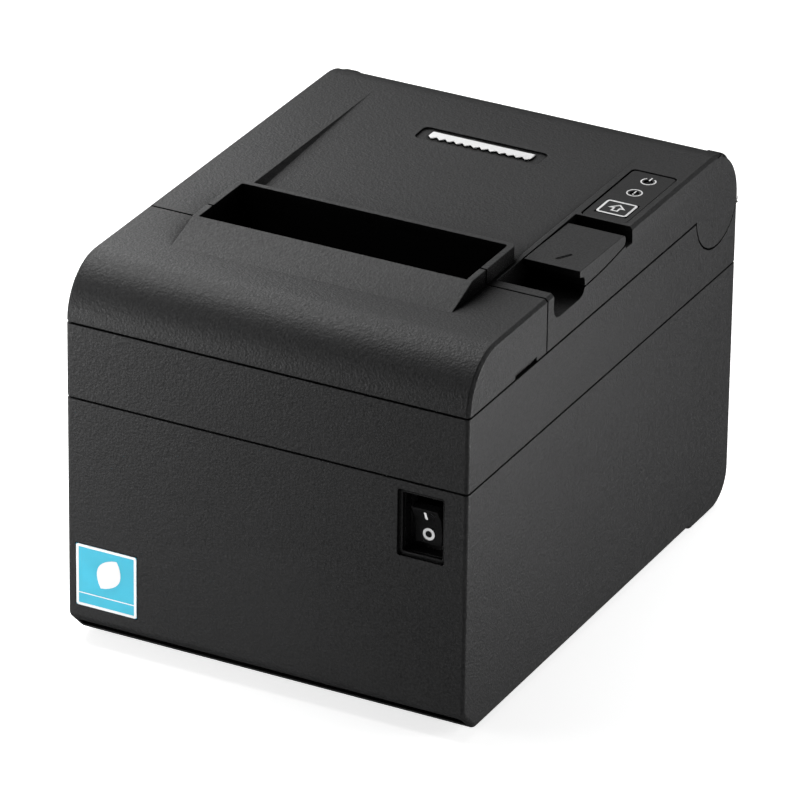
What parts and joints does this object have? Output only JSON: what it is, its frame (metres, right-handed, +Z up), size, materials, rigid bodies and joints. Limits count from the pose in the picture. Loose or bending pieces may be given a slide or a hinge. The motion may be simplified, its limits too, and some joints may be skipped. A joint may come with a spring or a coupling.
{
  "type": "receipt printer",
  "caption": "Desktop receipt printer: black case with a raised paper slot, lift-up roll cover and lever, sliding cutter cover, rocker switch, and a print and cutter mechanism inside.",
  "frame": {"origin": "middle of the box at the surface the printer stands on", "axes": "+X to the printer's left-to-right as seen from the front, +Y from the front face to the rear, +Z up"},
  "size_m": [0.145, 0.1966, 0.1403],
  "materials": {
    "case_plastic": "fine spark-eroded texture, charcoal black",
    "inner_plastic": "plain moulded black",
    "panel_film": "smooth black overlay",
    "foot_rubber": "matte",
    "platen_rubber": "ground",
    "steel": "zinc plated sheet and turned pins",
    "blade_steel": "ground",
    "aluminium": "extruded",
    "brass": "turned",
    "gear_plastic": "natural acetal",
    "circuit_board": "green solder mask",
    "ceramic": "glazed",
    "white_mark": "satin white",
    "label_print": "satin film, light blue with a white border",
    "clear_plastic": "clear light pipe"
  },
  "bodies": {
    "base": {"lower_case": "case_plastic", "rubber_foot_front_left": "foot_rubber", "rubber_foot_front_right": "foot_rubber", "rubber_foot_rear_left": "foot_rubber", "rubber_foot_rear_right": "foot_rubber", "case_screw_left": "steel", "case_screw_right": "steel", "mid_housing": "case_plastic", "hinge_pin_left": "steel", "hinge_pin_right": "steel", "power_switch_body": "inner_plastic", "left_side_plate": "steel", "right_side_plate": "steel", "cross_plate": "steel", "idler_pin": "steel", "feed_motor": "steel", "head_spring": "blade_steel", "cutter_frame": "steel", "cutter_motor": "steel", "roll_bay": "inner_plastic", "paper_sensor": "inner_plastic", "near_end_sensor": "inner_plastic", "cover_switch": "inner_plastic", "bottom_plate": "steel", "main_board": "circuit_board", "capacitor": "aluminium", "dc_jack": "inner_plastic", "usb_port": "steel", "drawer_port": "inner_plastic", "serial_port": "steel", "connector_plate": "steel", "front_label": "label_print"},
    "cutter_cover": {"front_cover": "case_plastic", "tear_bar": "blade_steel"},
    "roll_cover": {"top_cover": "case_plastic", "top_badge": "white_mark", "cover_liner": "inner_plastic", "control_panel": "panel_film", "control_board": "circuit_board", "alert_light": "clear_plastic", "power_light": "clear_plastic", "platen_bearing_left": "brass", "platen_bearing_right": "brass", "platen_bracket": "steel", "fixed_blade": "blade_steel"},
    "lever": {"open_lever": "case_plastic"},
    "latch": {"latch_shaft": "steel", "latch_hook_left": "steel", "latch_hook_right": "steel"},
    "feed_key": {"feed_button": "panel_film"},
    "rocker": {"power_rocker": "inner_plastic"},
    "platen": {"platen_roller": "platen_rubber", "platen_shaft": "steel", "platen_gear": "gear_plastic"},
    "idler": {"idler_gear": "gear_plastic"},
    "motor_rotor": {"motor_pinion": "brass"},
    "cutter_blade": {"moving_blade": "blade_steel"},
    "cutter_drive": {"cutter_pinion": "gear_plastic"},
    "head": {"print_head": "ceramic", "head_heatsink": "aluminium"}
  },
  "joints": [
    {"name": "cover_hinge", "type": "hinge", "parent": "base", "child": "roll_cover", "pos_m": [0, 0.08225, 0.1175], "axis": [-1, 0, 0], "range_deg": [0, 95]},
    {"name": "front_cover_slide", "type": "slide", "parent": "base", "child": "cutter_cover", "axis": [0, -1, 0], "range_m": [0, 0.015]},
    {"name": "lever_pivot", "type": "hinge", "parent": "roll_cover", "child": "lever", "pos_m": [0.062, 0.01005, 0.1325], "axis": [-1, 0, 0], "range_deg": [0, 25], "stiffness_Nm_per_rad": 0.03, "springref_deg": -11.46},
    {"name": "latch_pivot", "type": "hinge", "parent": "roll_cover", "child": "latch", "pos_m": [0, -0.01825, 0.1185], "axis": [1, 0, 0], "range_deg": [0, 15]},
    {"name": "feed_button_press", "type": "slide", "parent": "roll_cover", "child": "feed_key", "axis": [0, 0, -1], "range_m": [0, 0.0006], "stiffness_N_per_m": 600},
    {"name": "power_rocker_tilt", "type": "hinge", "parent": "base", "child": "rocker", "pos_m": [0.0563, -0.08835, 0.0742], "axis": [-1, 0, 0], "range_deg": [0, 26.5]},
    {"name": "platen_spin", "type": "hinge", "parent": "roll_cover", "child": "platen", "pos_m": [0, -0.04275, 0.1135], "axis": [1, 0, 0], "continuous": true},
    {"name": "idler_spin", "type": "hinge", "parent": "base", "child": "idler", "pos_m": [-0.0468, -0.04275, 0.0905], "axis": [1, 0, 0], "continuous": true},
    {"name": "motor_spin", "type": "hinge", "parent": "base", "child": "motor_rotor", "pos_m": [-0.0468, -0.03226, 0.07466], "axis": [1, 0, 0], "continuous": true},
    {"name": "blade_slide", "type": "slide", "parent": "base", "child": "cutter_blade", "axis": [0, 1, 0], "range_m": [0, 0.011]},
    {"name": "cutter_drive_spin", "type": "hinge", "parent": "base", "child": "cutter_drive", "pos_m": [-0.059, -0.07225, 0.1204], "axis": [0, 0, 1], "range_deg": [0, 100]},
    {"name": "head_pivot", "type": "hinge", "parent": "base", "child": "head", "pos_m": [0, -0.05175, 0.098], "axis": [1, 0, 0], "range_deg": [0, 3], "stiffness_Nm_per_rad": 1, "springref_deg": -5.73}
  ],
  "couplings": [
    {"joint": "latch_pivot", "follows": "lever_pivot", "ratio": 0.6},
    {"joint": "idler_spin", "follows": "platen_spin", "ratio": -0.76923},
    {"joint": "motor_spin", "follows": "platen_spin", "ratio": 1.6667},
    {"joint": "cutter_drive_spin", "follows": "blade_slide", "rad_per_m": 156.25}
  ]
}
